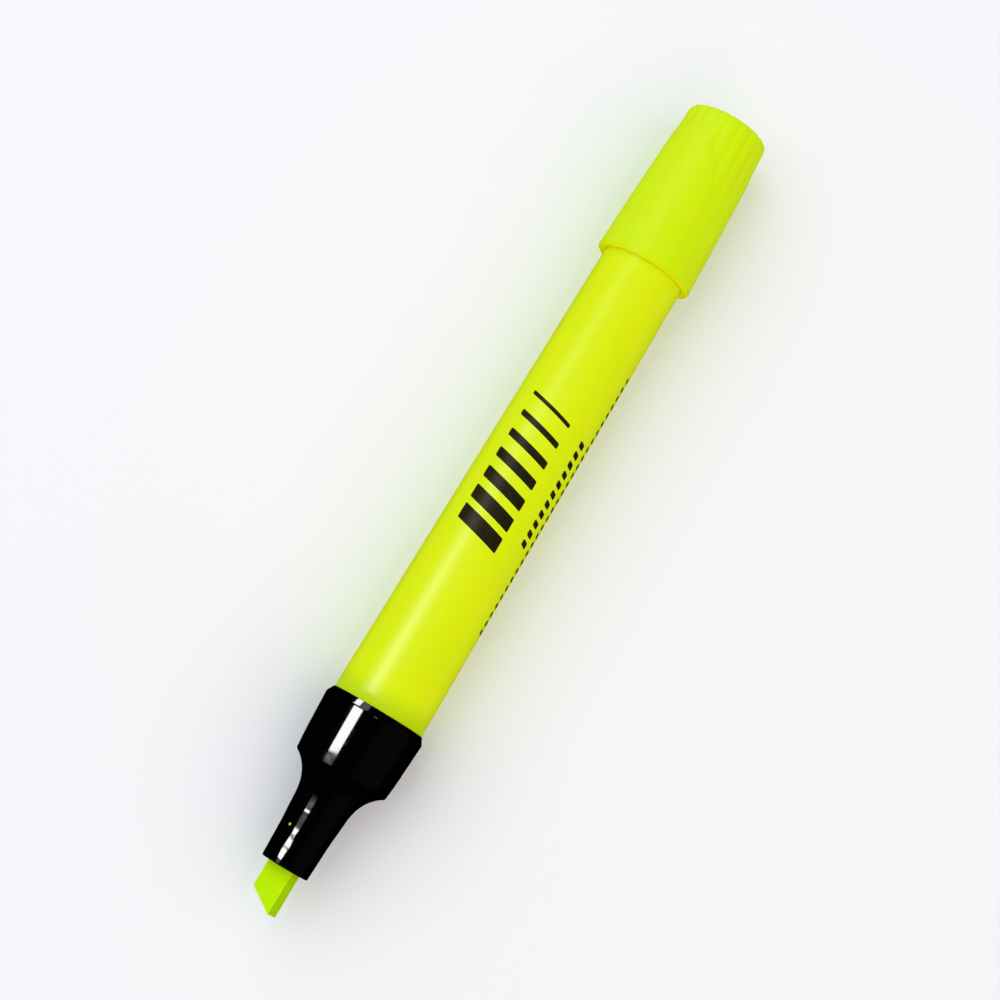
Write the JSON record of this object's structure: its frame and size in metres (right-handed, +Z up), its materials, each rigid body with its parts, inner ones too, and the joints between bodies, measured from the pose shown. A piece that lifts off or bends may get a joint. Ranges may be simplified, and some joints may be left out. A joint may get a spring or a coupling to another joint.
{
  "type": "highlighter",
  "caption": "Round tapered highlighter with a flat slanted felt nib, a black flared nose section and a fluted cap posted on its tail.",
  "frame": {"origin": "on the surface that the pen lies on, under the middle of its length", "axes": "+X along the pen toward the closed end of the cap, -X toward the nib, +Z up"},
  "size_m": [0.1316, 0.0156, 0.0156],
  "materials": {
    "inked_felt": "ink-soaked bonded felt",
    "gloss_black_plastic": "high gloss moulded",
    "fluorescent_barrel_plastic": "satin fluorescent polypropylene",
    "inked_fibre": "ink-soaked fibre bundle",
    "clear_film": "clear film",
    "fluorescent_cap_plastic": "satin fluorescent polypropylene",
    "liner_plastic": "natural polypropylene"
  },
  "bodies": {
    "pen": {"barrel": "fluorescent_barrel_plastic", "nose_section": "gloss_black_plastic", "nib": "inked_felt", "reservoir_core": "inked_fibre", "reservoir_film": "clear_film"},
    "cap": {"cap_shell": "fluorescent_cap_plastic", "cap_liner": "liner_plastic"}
  },
  "joints": [
    {"name": "cap_pull", "type": "slide", "parent": "pen", "child": "cap", "axis": [1, 0, 0], "range_m": [0, 0.045]}
  ]
}
